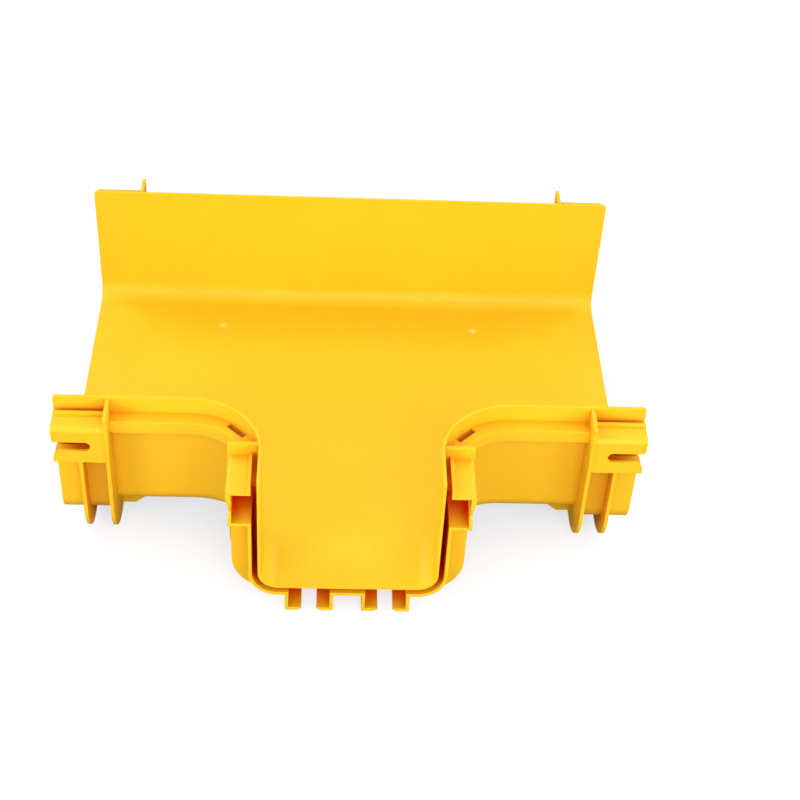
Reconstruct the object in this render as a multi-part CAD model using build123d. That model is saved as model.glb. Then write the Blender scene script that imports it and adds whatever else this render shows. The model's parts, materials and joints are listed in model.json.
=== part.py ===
# Fibre raceway fitting: a reducing horizontal tee, moulded in one piece.
# Millimetres, +Z up. The main run lies along X, the branch leaves towards -Y.
# While it is built, Z = 0 is the inside floor and Y = 0 the axis of the main run.

from build123d import *
import os

# Channel
main_width = 240.0
branch_width = 120.0
wall_height = 101.5
main_length = 408.0
branch_reach = 80.0
wall = 2.0
floor = 2.2
plan_radius = 50.0
fold_radius = 12.0
rim_round = 0.6
rim_corner = 3.0

# Sockets at the three ends
socket_depth = 36.0
side_gap = 4.0
floor_gap = 4.8
collar = 2.5
collar_below_rim = 9.2
collar_corner = 20.5

# Boxes for the T-head bolts
box_wall = 2.5
side_box_below_rim = 11.9
side_box_height = 31.6
side_box_reach = 23.2
side_box_lean = 1.6
side_box_round = 3.0
floor_box_width = 33.6
floor_box_drop = 25.0
branch_box_pitch = 53.4
main_box_pitch = 106.8

# Bolt slots in the boxes
side_slot = 8.0
side_slot_below_rim = 29.0
floor_slot = 10.6
slot_length = 26.0
lip_round = 2.0
lip_slant = 4.0
lip_slant_height = 6.4
floor_lip_cut = 2.0

# Flanges round the sockets
flange_thickness = 2.6
flange_drop = 22.5
short_flange_at = 17.0
short_flange_reach = 20.8
short_flange_corner = 31.0
tall_flange_reach = 23.0
tall_flange_corner = 34.4
tall_flange_below_rim = 1.7
tall_flange_round = 1.5

# Ledge on the plain walls
ledge_below_rim = 13.5
ledge_reach = 12.7
ledge_thickness = 2.5
ledge_drop = 10.0
notch_length = 15.5
notch_width = 5.2

# Gussets under the floor
gusset_inset = 20.0
gusset_thickness = 2.5
gusset_height = 17.0
gusset_flat = 9.5
gusset_length = 30.0

# Gate marks on the floor
gate_radius = 2.2
gate_height = 0.5
gate_spacing = 204.0
gate_from_back = 38.5

# Derived levels and places
end_x = main_length / 2
end_y = -(main_width / 2 + branch_reach)
collar_out = wall + side_gap + collar
collar_under = floor + floor_gap + collar
collar_top = wall_height - collar_below_rim
side_box_top = wall_height - side_box_below_rim
side_box_low = side_box_top - side_box_height
side_slot_at = wall_height - side_slot_below_rim
tall_flange_top = wall_height - tall_flange_below_rim
ledge_top = wall_height - ledge_below_rim
overrun = 40.0
over = 1.0
near = 0.01
round_share = 0.49


def cup(half, bottom, top, radius):
    """Upright section with round lower corners, as wide as a socket."""
    face = Pos(0, (top + bottom) / 2) * Rectangle(2 * half, top - bottom)
    return fillet(face.vertices().group_by(Axis.Y)[0], radius)


def upright(start):
    """Plane across a socket, this far in from its end."""
    return Plane(origin=(0, start, 0), x_dir=(1, 0, 0), z_dir=(0, -1, 0))


def along(section, start, length):
    """Pushes an upright section inwards from the end plane."""
    return extrude(upright(start) * section, length, dir=(0, 1, 0))


def plan(out):
    """Floor plan of the channel, its walls moved outwards."""
    run = Rectangle(main_length + 2 * overrun, main_width + 2 * out)
    reach = branch_reach + main_width / 2 + overrun
    leg = Pos(0, -reach / 2) * Rectangle(branch_width + 2 * out, reach)
    outline = run + leg
    mid_x = branch_width / 2 + plan_radius
    mid_y = main_width / 2 + plan_radius
    for side in (-1, 1):
        web = Pos(side * (mid_x - plan_radius / 2), -(mid_y - plan_radius / 2))
        web = web * Rectangle(plan_radius, plan_radius)
        outline += web - Pos(side * mid_x, -mid_y) * Circle(plan_radius - out)
    return outline


def trough(out, bottom, top, radius):
    """Solid with the channel's plan and round lower edges."""
    body = extrude(Pos(0, 0, bottom) * plan(out), top - bottom)
    low = body.edges().group_by(Axis.Z)[0]
    far_x = end_x + overrun
    far_y = end_y - overrun
    sides = [e for e in low if abs(abs(e.center().X) - far_x) > 1 and abs(e.center().Y - far_y) > 1]
    return fillet(sides, radius)


def side_box(half, side):
    """Box on the socket's flank with its chamber and its slot, open at the end."""
    inner = half + collar_out - collar / 2
    outer = half + side_box_reach
    lean = outer - side_box_lean
    slot_high = side_slot_at + side_slot / 2
    shell = make_face(Polyline(
        (inner, side_box_low), (lean, side_box_low), (lean, slot_high), (outer, side_box_top),
        (inner, side_box_top), close=True))
    crest = shell.vertices().filter_by(lambda v: v.X > outer - near)
    shell = along(fillet(crest, side_box_round), 0, socket_depth + flange_thickness / 2)
    deep = lean - box_wall
    mouth = half + wall + side_gap / 2
    room = Pos((mouth + deep) / 2, (side_box_low + side_box_top) / 2)
    room = room * Rectangle(deep - mouth, side_box_top - side_box_low - 2 * box_wall)
    room = along(room, 0, socket_depth)
    slot = Pos(slot_length / 2, 0) * Rectangle(slot_length, side_slot)
    slot = fillet(slot.vertices().group_by(Axis.X)[-1], side_slot * round_share)
    slot += make_face(Polyline(
        (0, -side_slot / 2 - lip_slant_height), (lip_slant, -side_slot / 2), (0, -side_slot / 2),
        close=True))
    upper = Pos(lip_round / 2, side_slot / 2 + lip_round / 2) * Rectangle(lip_round, lip_round)
    slot += upper - Pos(lip_round, side_slot / 2 + lip_round) * Circle(lip_round)
    lane = Plane(origin=(deep - over, 0, side_slot_at), x_dir=(0, 1, 0), z_dir=(1, 0, 0))
    slot = extrude(lane * slot, box_wall + side_box_lean + 2 * over)
    if side < 0:
        return [mirror(s, about=Plane.YZ) for s in (shell, room, slot)]
    return [shell, room, slot]


def floor_box(at):
    """Box under the socket with its chamber and its slot."""
    top = -collar_under + collar / 2
    shell = Pos(at, (top - floor_box_drop) / 2) * Rectangle(floor_box_width, floor_box_drop + top)
    shell = along(shell, 0, socket_depth + flange_thickness / 2)
    high = -floor - floor_gap / 2
    low = -floor_box_drop + box_wall
    room = Pos(at, (high + low) / 2) * Rectangle(floor_box_width - 2 * box_wall, high - low)
    room = along(room, 0, socket_depth)
    slot = Pos(0, slot_length / 2) * Rectangle(floor_slot, slot_length)
    slot = fillet(slot.vertices().group_by(Axis.Y)[-1], floor_slot * round_share)
    half_mouth = floor_slot / 2 + floor_lip_cut
    slot += make_face(Polyline(
        (-half_mouth, 0), (half_mouth, 0), (floor_slot / 2, floor_lip_cut),
        (-floor_slot / 2, floor_lip_cut), close=True))
    slot = extrude(Pos(at, 0, -floor_box_drop - over) * slot, box_wall + 2 * over)
    return [shell, room, slot]


def flange(half, reach, corner, top, start):
    """Plate round a socket, this far in from its end."""
    return along(cup(half + reach, -flange_drop, top, corner), start, flange_thickness)


def socket(width, box_pitch):
    """One end of the fitting, its end plane at Y = 0 and its depth along +Y."""
    half = width / 2
    body = along(cup(half + collar_out, -collar_under, collar_top, collar_corner), 0, socket_depth)
    short_top = side_box_low + box_wall / 2
    body += flange(half, short_flange_reach, short_flange_corner, short_top, short_flange_at)
    groups = []
    for side in (-1, 1):
        groups.append(side_box(half, side))
        groups.append(floor_box(side * box_pitch / 2))
    for group in groups:
        body += group[0]
    bore_bottom = -floor - floor_gap
    bore = cup(half + wall + side_gap, bore_bottom, wall_height + over, collar_corner - collar)
    body -= along(bore, -over, socket_depth + over)
    for group in groups:
        body -= group[1]
        body -= group[2]
    tall = flange(half, tall_flange_reach, tall_flange_corner, tall_flange_top, socket_depth)
    crest = tall.edges().filter_by(Axis.Y).group_by(Axis.Z)[-1]
    body += fillet(crest, tall_flange_round)
    start = socket_depth + flange_thickness / 2
    stop = socket_depth + flange_thickness + gusset_length
    under = -floor - gusset_height
    gusset = make_face(Polyline(
        (start, -floor / 2), (stop, -floor / 2), (stop, -floor),
        (stop - gusset_length + gusset_flat, under), (start, under), close=True))
    for side in (-1, 1):
        place = side * (half + wall - gusset_inset) - gusset_thickness / 2
        lane = Plane(origin=(place, 0, 0), x_dir=(0, 1, 0), z_dir=(1, 0, 0))
        body += extrude(lane * gusset, gusset_thickness)
    return body


def rim_end(width):
    """What is taken off the upper corners of the walls at one end."""
    size = rim_corner + over
    corner = Pos(rim_corner - size / 2, wall_height - rim_corner + size / 2) * Rectangle(size, size)
    corner -= Pos(rim_corner, wall_height - rim_corner) * Circle(rim_corner)
    across = width + 4 * wall
    lane = Plane(origin=(-across / 2, 0, 0), x_dir=(0, 1, 0), z_dir=(1, 0, 0))
    return extrude(lane * corner, across)


def ledge():
    """Shelf with a downturned lip on the plain walls, between the tall flanges."""
    shelf = plan(ledge_reach) - plan(wall / 2)
    lip = plan(ledge_reach) - plan(ledge_reach - ledge_thickness)
    body = extrude(Pos(0, 0, ledge_top - ledge_thickness) * shelf, ledge_thickness)
    body += extrude(Pos(0, 0, ledge_top - ledge_drop) * lip, ledge_drop)
    mid_x = branch_width / 2 + plan_radius
    mid_y = main_width / 2 + plan_radius
    place = plan_radius - wall - notch_width / 2
    for side, turn in ((-1, 45), (1, 135)):
        notch = Pos(side * mid_x, -mid_y, ledge_top) * Rot(0, 0, turn) * Pos(place, 0, 0)
        body -= notch * Box(notch_width, notch_length, 3 * ledge_thickness)
    back = main_width / 2 + side_box_reach
    inner_x = end_x - socket_depth - flange_thickness / 2
    inner_y = end_y + socket_depth + flange_thickness / 2
    span = Pos(0, (back + inner_y) / 2, ledge_top) * Box(2 * inner_x, back - inner_y, 4 * ledge_drop)
    return body & span


# The channel before it is hollowed, trimmed to its three ends
tee = trough(wall, -floor, wall_height, fold_radius + wall)
span_y = main_width - end_y
trim = Pos(0, end_y + span_y / 2, 0) * Box(main_length, span_y, 4 * wall_height)
tee = tee & trim

# Sockets, ledge and channel become one solid
main_socket = socket(main_width, main_box_pitch)
tee += Pos(0, end_y, 0) * socket(branch_width, branch_box_pitch)
tee += Pos(-end_x, 0, 0) * Rot(0, 0, -90) * main_socket
tee += Pos(end_x, 0, 0) * Rot(0, 0, 90) * main_socket
tee += ledge()
tee -= trough(0, 0, wall_height + over, fold_radius)

# Soft rim and gate marks
rim = tee.edges().filter_by_position(Axis.Z, wall_height - near, wall_height + near)
tee = fillet([e for e in rim if e.length > 2 * wall], rim_round)
tee -= Pos(0, end_y, 0) * rim_end(branch_width)
tee -= Pos(-end_x, 0, 0) * Rot(0, 0, -90) * rim_end(main_width)
tee -= Pos(end_x, 0, 0) * Rot(0, 0, 90) * rim_end(main_width)
for side in (-1, 1):
    gate = Pos(side * gate_spacing / 2, main_width / 2 - gate_from_back, gate_height / 2 - floor / 4)
    tee += gate * Cylinder(gate_radius, gate_height + floor / 2)

# Origin: middle of the plan, on the ground
box = tee.bounding_box()
tee = Pos(0, -(box.min.Y + box.max.Y) / 2, floor_box_drop) * tee

os.makedirs("parts", exist_ok=True)
export_step(tee, "parts/raceway_tee.step")
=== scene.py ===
import json
import math

import bpy
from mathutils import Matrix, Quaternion, Vector
from mathutils.geometry import intersect_point_line
from mathutils.kdtree import KDTree

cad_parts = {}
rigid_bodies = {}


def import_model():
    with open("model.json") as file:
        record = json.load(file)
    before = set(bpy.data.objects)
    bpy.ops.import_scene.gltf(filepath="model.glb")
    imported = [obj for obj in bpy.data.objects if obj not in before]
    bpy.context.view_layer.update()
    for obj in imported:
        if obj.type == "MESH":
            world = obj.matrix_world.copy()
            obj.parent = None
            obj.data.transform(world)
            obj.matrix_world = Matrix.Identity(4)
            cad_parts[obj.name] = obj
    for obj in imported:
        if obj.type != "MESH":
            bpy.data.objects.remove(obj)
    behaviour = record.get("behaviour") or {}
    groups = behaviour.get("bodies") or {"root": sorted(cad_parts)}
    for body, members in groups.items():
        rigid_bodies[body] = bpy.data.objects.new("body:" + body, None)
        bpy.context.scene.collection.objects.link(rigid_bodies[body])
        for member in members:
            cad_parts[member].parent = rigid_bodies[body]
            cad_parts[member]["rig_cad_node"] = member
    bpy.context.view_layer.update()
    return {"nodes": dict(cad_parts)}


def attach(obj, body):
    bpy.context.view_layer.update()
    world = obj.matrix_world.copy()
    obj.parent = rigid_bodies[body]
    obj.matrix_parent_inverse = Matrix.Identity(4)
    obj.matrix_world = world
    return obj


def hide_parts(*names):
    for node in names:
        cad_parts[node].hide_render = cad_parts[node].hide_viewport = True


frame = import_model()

# Edges of the moulding: lengths in metres, turns between faces or edges
edge_round = 0.0004
edge_room = 0.001
search_reach = 1.5 * edge_room
across_share = 0.5
merge_reach = 0.000004
flat_turn = math.radians(0.4)
sharp_turn = math.radians(50)
narrow_corner = math.radians(30)
smooth_turn = math.radians(40)
round_segments = 2
flat_face_weight = 80

# Gate marks on the trough's floor, in metres
gate_spacing = 0.204
gate_y = 0.11
floor_level = 0.025
gate_pale_radius = 0.0018
gate_fade_radius = 0.0042

# Colours of the yellow plastic, and the amber and red-brown of painted shade in its nooks
resin_body = (0.94, 0.55, 0.011, 1)
resin_cloud = (0.95, 0.57, 0.015, 1)
resin_gate = (0.97, 0.72, 0.16, 1)
# Painted shade: amber in corners and pockets, red-brown deep in gaps and slots, where the tee's own
# walls hide a spot from light
painted_shade_amber = (0.74, 0.29, 0.001, 1)
painted_shade_red = (0.86, 0.04, 0.0005, 1)
painted_shade_reach = 0.045

# Skin of the yellow plastic: patterns in waves to the metre, depths in metres
cloud_waves = 14.0
grain_waves = 2600.0
sway_waves = 26.0
scuff_waves = 90.0
grain_share = 0.25
skin_depth = 0.0004
skin_strength = 0.35
low_roughness = 0.44
high_roughness = 0.56
shine = 0.32
glow_share = 0.25
glow_depth = 0.004
glow_reach = (1.0, 0.25, 0.05)

# Studio paper: sizes in metres
paper_width = 12
paper_drop = 0.0002
paper_bounce = (0.25, 0.25, 0.25, 1)
paper_seen = (0.4, 0.41, 0.425, 1)
paper_glow = (0.98, 1.0, 1.04, 1)
near_paper = 0.35
far_paper = 0.9
near_glow = 0.63
far_glow = 0.8

# Studio light: place and size in metres, power in watts
room_light = 0.5
lit_middle = Vector((0, -0.05, 0.06))
softboxes = {
    "front_softbox": ((0.2, -1.3, 1.1), (0.9, 0.8), 8.5),
    "low_front_softbox": ((0, -0.95, 0.4), (0.9, 0.35), 1.8),
    "left_front_softbox": ((-1.1, -1.1, 0.5), (0.6, 0.6), 7.5),
    "right_front_softbox": ((1.1, -1.1, 0.5), (0.6, 0.6), 6),
    "left_softbox": ((-1.4, -0.15, 0.6), (0.6, 0.6), 2.5),
    "right_softbox": ((1.4, -0.15, 0.6), (0.6, 0.6), 3),
    "back_left_softbox": ((-1.2, 0.8, 1.3), (0.8, 0.8), 12),
    "back_right_softbox": ((1.2, 0.8, 1.3), (0.8, 0.8), 8.5),
}

# Camera of the photo: lens and film in millimetres, places in metres
photo_lens = 73.13
film_width = 36.0
camera_stand = Vector((-0.0223, -0.9213, 0.8714))
camera_target = Vector((0.0404, 0.0232, 0.025))
camera_roll = math.radians(3.816)


def edge_line(mesh, index):
    """Both ends of an edge."""
    return [mesh.vertices[i].co for i in mesh.edges[index].vertices]


def face_corners(mesh, face):
    """Each corner of a face, between the one before it and the one after it."""
    loops = [mesh.loops[i] for i in face.loop_indices]
    return zip(loops[-1:] + loops[:-1], loops, loops[1:] + loops[:1])


def outer_edges(mesh, edges):
    """Those of the edges that stand out, not the ones in a corner."""
    sides = {index: [] for index in edges}
    for face in mesh.polygons:
        for before, here, after in face_corners(mesh, face):
            if here.edge_index in sides:
                run = mesh.vertices[after.vertex_index].co - mesh.vertices[here.vertex_index].co
                sides[here.edge_index].append((face.normal, face.normal.cross(run)))
    return {index for index, (one, two) in sides.items() if two[1].dot(one[0]) < 0}


def narrow_edges(mesh):
    """Edges that run into a narrow corner of a face."""
    narrow = set()
    for face in mesh.polygons:
        for before, here, after in face_corners(mesh, face):
            corner = mesh.vertices[here.vertex_index].co
            back = mesh.vertices[before.vertex_index].co - corner
            ahead = mesh.vertices[after.vertex_index].co - corner
            if back.angle(ahead, 0.0) < narrow_corner:
                narrow.update((before.edge_index, here.edge_index))
    return narrow


def crowded_edges(mesh, edges):
    """Edges with another close beside them, so that a rounding has no room."""
    spots = []
    for index in edges:
        start, end = edge_line(mesh, index)
        count = max(1, math.ceil((end - start).length / edge_room))
        spots += [(start.lerp(end, (i + 0.5) / count), index) for i in range(count)]
    near = KDTree(len(spots))
    for i, (place, index) in enumerate(spots):
        near.insert(place, i)
    near.balance()
    crowded = set()
    for place, index in spots:
        start, end = edge_line(mesh, index)
        run = (end - start).normalized()
        for other in {spots[i][1] for _, i, _ in near.find_range(place, search_reach)}:
            if set(mesh.edges[index].vertices).isdisjoint(mesh.edges[other].vertices):
                start, end = edge_line(mesh, other)
                share = intersect_point_line(place, start, end)[1]
                gap = start.lerp(end, min(1.0, max(0.0, share))) - place
                if gap.length < edge_room and abs(gap.dot(run)) < across_share * gap.length:
                    crowded.update((index, other))
    return crowded


def smooth_runs(mesh, edges, seeds):
    """The seeds among the edges, and every edge that carries one of them on without a corner."""
    meeting = {}
    for index in edges:
        for i in mesh.edges[index].vertices:
            meeting.setdefault(i, []).append(index)
    found = set(seeds) & set(edges)
    waiting = list(found)
    while waiting:
        index = waiting.pop()
        start, end = edge_line(mesh, index)
        for i in mesh.edges[index].vertices:
            for other in set(meeting[i]) - found:
                far_start, far_end = edge_line(mesh, other)
                turn = (end - start).angle(far_end - far_start, 0.0)
                if min(turn, math.pi - turn) < smooth_turn:
                    found.add(other)
                    waiting.append(other)
    return found


def copy_solid():
    """A copy of the solid's mesh with its triangles merged and its sharp edges selected."""
    bpy.ops.object.select_all(action="DESELECT")
    solid = frame["nodes"]["raceway_tee"]
    solid.select_set(True)
    bpy.context.view_layer.objects.active = solid
    bpy.ops.object.duplicate()
    moulding = bpy.context.view_layer.objects.active
    moulding.name = "tee_moulding"
    del moulding["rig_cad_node"]
    bpy.ops.mesh.customdata_custom_splitnormals_clear()
    bpy.ops.object.mode_set(mode="EDIT")
    bpy.ops.mesh.select_all(action="SELECT")
    bpy.ops.mesh.remove_doubles(threshold=merge_reach)
    bpy.ops.mesh.dissolve_limited(angle_limit=flat_turn)
    bpy.ops.mesh.select_mode(type="EDGE")
    bpy.ops.mesh.select_all(action="DESELECT")
    bpy.ops.mesh.edges_select_sharp(sharpness=sharp_turn)
    bpy.ops.object.mode_set(mode="OBJECT")
    return moulding


def make_moulding():
    """The tee as it leaves the mould: the solid's faces with softly broken edges."""
    moulding = copy_solid()
    mesh = moulding.data
    sharp = [edge.index for edge in mesh.edges if edge.select]
    outer = outer_edges(mesh, sharp)
    tight = narrow_edges(mesh) | crowded_edges(mesh, sharp)
    rounded = outer - smooth_runs(mesh, outer, tight)
    share = mesh.attributes.new("bevel_weight_edge", "FLOAT", "EDGE")
    for index in rounded:
        share.data[index].value = 1.0
    soft = moulding.modifiers.new("soft_edges", "BEVEL")
    soft.width = edge_round
    soft.segments = round_segments
    soft.limit_method = "WEIGHT"
    soft.use_clamp_overlap = False
    bpy.ops.object.modifier_apply(modifier="soft_edges")
    bpy.ops.object.shade_smooth_by_angle(angle=sharp_turn)
    even = moulding.modifiers.new("even_shading", "WEIGHTED_NORMAL")
    even.keep_sharp = True
    even.weight = flat_face_weight
    bpy.ops.object.modifier_apply(modifier="even_shading")
    return moulding


def new_group(name, inputs, outputs):
    """Empty shader group with named sockets."""
    group = bpy.data.node_groups.new(name, "ShaderNodeTree")
    for label, kind in inputs:
        group.interface.new_socket(name=label, in_out="INPUT", socket_type=kind)
    for label, kind in outputs:
        group.interface.new_socket(name=label, in_out="OUTPUT", socket_type=kind)
    group.nodes.new("NodeGroupInput").name = "in"
    group.nodes.new("NodeGroupOutput").name = "out"
    return group


def add_group(tree, group, place):
    """Puts a shader group into a material, on the piece's own coordinates."""
    node = tree.nodes.new("ShaderNodeGroup")
    node.node_tree = group
    tree.links.new(place, node.inputs["Place"])
    return node


def add_noise(tree, vector, scale, detail):
    """Cloudy value from 0 to 1."""
    noise = tree.nodes.new("ShaderNodeTexNoise")
    noise.inputs["Scale"].default_value = scale
    noise.inputs["Detail"].default_value = detail
    tree.links.new(vector, noise.inputs["Vector"])
    return noise.outputs["Fac"]


def add_range(tree, value, low, high, to_low, to_high):
    """Value spread from one range to another."""
    spread = tree.nodes.new("ShaderNodeMapRange")
    spread.inputs["From Min"].default_value = low
    spread.inputs["From Max"].default_value = high
    spread.inputs["To Min"].default_value = to_low
    spread.inputs["To Max"].default_value = to_high
    tree.links.new(value, spread.inputs["Value"])
    return spread.outputs["Result"]


def add_mix(tree, amount, first, second):
    """Colour between two, by amount."""
    mix = tree.nodes.new("ShaderNodeMix")
    mix.data_type = "RGBA"
    tree.links.new(amount, mix.inputs["Factor"])
    for value, label in ((first, "A"), (second, "B")):
        socket = [s for s in mix.inputs if s.name == label and s.type == "RGBA"][0]
        if isinstance(value, tuple):
            socket.default_value = value
        else:
            tree.links.new(value, socket)
    return [s for s in mix.outputs if s.type == "RGBA"][0]


def add_math(tree, kind, first, second):
    """Two values joined by one sum."""
    node = tree.nodes.new("ShaderNodeMath")
    node.operation = kind
    tree.links.new(first, node.inputs[0])
    tree.links.new(second, node.inputs[1])
    return node.outputs[0]


def make_resin_group():
    """Colour of the resin: faint clouds where it flowed, paler round the two gates."""
    group = new_group(
        "resin_colour",
        [("Place", "NodeSocketVector"), ("Body", "NodeSocketColor"), ("Cloud", "NodeSocketColor"),
         ("Gate", "NodeSocketColor")],
        [("Colour", "NodeSocketColor")])
    given = group.nodes["in"].outputs
    cloud = add_range(group, add_noise(group, given["Place"], cloud_waves, 3.0), 0.35, 0.7, 0.0, 1.0)
    colour = add_mix(group, cloud, given["Body"], given["Cloud"])
    for side in (-1, 1):
        reach = group.nodes.new("ShaderNodeVectorMath")
        reach.operation = "DISTANCE"
        reach.inputs[1].default_value = (side * gate_spacing / 2, gate_y, floor_level)
        group.links.new(given["Place"], reach.inputs[0])
        mark = add_range(group, reach.outputs["Value"], gate_pale_radius, gate_fade_radius, 1.0, 0.0)
        colour = add_mix(group, mark, colour, given["Gate"])
    group.links.new(colour, group.nodes["out"].inputs["Colour"])
    return group


def make_grain_group():
    """Skin of the mould: fine eroded grain over slow waves of the thin wall, and scuffs in the gloss."""
    group = new_group(
        "mould_grain",
        [("Place", "NodeSocketVector"), ("Grain", "NodeSocketFloat")],
        [("Height", "NodeSocketFloat"), ("Gloss", "NodeSocketFloat")])
    given = group.nodes["in"].outputs
    fine = add_noise(group, given["Place"], grain_waves, 2.0)
    fine = add_math(group, "MULTIPLY", fine, given["Grain"])
    sway = add_noise(group, given["Place"], sway_waves, 1.0)
    group.links.new(add_math(group, "ADD", fine, sway), group.nodes["out"].inputs["Height"])
    scuff = add_noise(group, given["Place"], scuff_waves, 5.0)
    group.links.new(scuff, group.nodes["out"].inputs["Gloss"])
    return group


def make_yellow_plastic():
    """Yellow raceway plastic with a satin skin, with painted amber and red-brown shade where little
    light gets in.
    """
    material = bpy.data.materials.new("yellow_plastic_skin")
    material.use_nodes = True
    tree = material.node_tree
    shader = tree.nodes["Principled BSDF"]
    place = tree.nodes.new("ShaderNodeTexCoord").outputs["Object"]

    resin = add_group(tree, make_resin_group(), place)
    resin.inputs["Body"].default_value = resin_body
    resin.inputs["Cloud"].default_value = resin_cloud
    resin.inputs["Gate"].default_value = resin_gate
    # Painted shade: occlusion by the tee itself turns the base colour amber in corners and pockets, then
    # red-brown deep in gaps and slots
    nook = tree.nodes.new("ShaderNodeAmbientOcclusion")
    nook.only_local = True
    nook.inputs["Distance"].default_value = painted_shade_reach
    shade = add_range(tree, nook.outputs["AO"], 0.2, 0.64, 1.0, 0.0)
    colour = add_mix(tree, shade, resin.outputs["Colour"], painted_shade_amber)
    painted_deep_shade = add_range(tree, nook.outputs["AO"], 0.06, 0.25, 1.0, 0.0)
    colour = add_mix(tree, painted_deep_shade, colour, painted_shade_red)
    tree.links.new(colour, shader.inputs["Base Color"])

    skin = add_group(tree, make_grain_group(), place)
    skin.inputs["Grain"].default_value = grain_share
    roughness = add_range(tree, skin.outputs["Gloss"], 0.3, 0.7, low_roughness, high_roughness)
    tree.links.new(roughness, shader.inputs["Roughness"])
    bump = tree.nodes.new("ShaderNodeBump")
    bump.inputs["Strength"].default_value = skin_strength
    bump.inputs["Distance"].default_value = skin_depth
    tree.links.new(skin.outputs["Height"], bump.inputs["Height"])
    tree.links.new(bump.outputs["Normal"], shader.inputs["Normal"])

    shader.inputs["Specular IOR Level"].default_value = shine
    shader.inputs["Subsurface Weight"].default_value = glow_share
    shader.inputs["Subsurface Radius"].default_value = glow_reach
    shader.inputs["Subsurface Scale"].default_value = glow_depth
    return material


def make_paper():
    """White that keeps the shadow, throws little light back up and is clear from below."""
    material = bpy.data.materials.new("studio_white")
    material.use_nodes = True
    tree = material.node_tree
    tree.nodes.remove(tree.nodes["Principled BSDF"])
    seen = tree.nodes.new("ShaderNodeLightPath").outputs["Is Camera Ray"]
    paper = tree.nodes.new("ShaderNodeBsdfDiffuse")
    tree.links.new(add_mix(tree, seen, paper_bounce, paper_seen), paper.inputs["Color"])

    place = tree.nodes.new("ShaderNodeTexCoord").outputs["Object"]
    away = tree.nodes.new("ShaderNodeVectorMath")
    away.operation = "LENGTH"
    tree.links.new(place, away.inputs[0])
    fill = add_range(tree, away.outputs["Value"], near_paper, far_paper, near_glow, far_glow)
    glow = tree.nodes.new("ShaderNodeEmission")
    glow.inputs["Color"].default_value = paper_glow
    tree.links.new(add_math(tree, "MULTIPLY", seen, fill), glow.inputs["Strength"])
    lit = tree.nodes.new("ShaderNodeAddShader")
    tree.links.new(paper.outputs[0], lit.inputs[0])
    tree.links.new(glow.outputs[0], lit.inputs[1])

    underside = tree.nodes.new("ShaderNodeNewGeometry").outputs["Backfacing"]
    clear = tree.nodes.new("ShaderNodeBsdfTransparent")
    sheet = tree.nodes.new("ShaderNodeMixShader")
    tree.links.new(underside, sheet.inputs["Fac"])
    tree.links.new(lit.outputs[0], sheet.inputs[1])
    tree.links.new(clear.outputs[0], sheet.inputs[2])
    tree.links.new(sheet.outputs[0], tree.nodes["Material Output"].inputs["Surface"])
    return material


def make_floor():
    """Sheet of paper just under the feet."""
    bpy.ops.object.select_all(action="DESELECT")
    bpy.ops.mesh.primitive_plane_add(size=paper_width, location=(0, 0, -paper_drop))
    floor = bpy.context.object
    floor.name = "studio_floor"
    floor.data.materials.append(make_paper())


def add_softbox(name, place, size, power):
    """Square or oblong lamp that faces the middle of the tee."""
    lamp = bpy.data.lights.new(name, "AREA")
    lamp.shape = "RECTANGLE"
    lamp.size, lamp.size_y = size
    lamp.energy = power
    holder = bpy.data.objects.new(name, lamp)
    bpy.context.scene.collection.objects.link(holder)
    holder.location = place
    holder.rotation_euler = (lit_middle - Vector(place)).to_track_quat("-Z", "Y").to_euler()


def light_studio():
    """White room with softboxes in front, at the sides and behind."""
    world = bpy.data.worlds.new("studio")
    bpy.context.scene.world = world
    world.use_nodes = True
    back = world.node_tree.nodes["Background"]
    back.inputs["Color"].default_value = (1, 1, 1, 1)
    back.inputs["Strength"].default_value = room_light
    for name, (place, size, power) in softboxes.items():
        add_softbox(name, place, size, power)


def place_camera():
    """Camera where the photo was taken from."""
    camera = bpy.data.cameras.new("photo_camera")
    camera.lens = photo_lens
    camera.sensor_width = film_width
    holder = bpy.data.objects.new("photo_camera", camera)
    bpy.context.scene.collection.objects.link(holder)
    aim = (camera_target - camera_stand).to_track_quat("-Z", "Y")
    holder.rotation_mode = "QUATERNION"
    holder.location = camera_stand
    holder.rotation_quaternion = aim @ Quaternion((0, 0, 1), camera_roll)
    bpy.context.scene.camera = holder


moulding = make_moulding()
moulding.data.materials.clear()
moulding.data.materials.append(make_yellow_plastic())
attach(moulding, "root")
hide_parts("raceway_tee")

make_floor()
light_studio()
place_camera()
bpy.context.scene.view_settings.view_transform = "Standard"
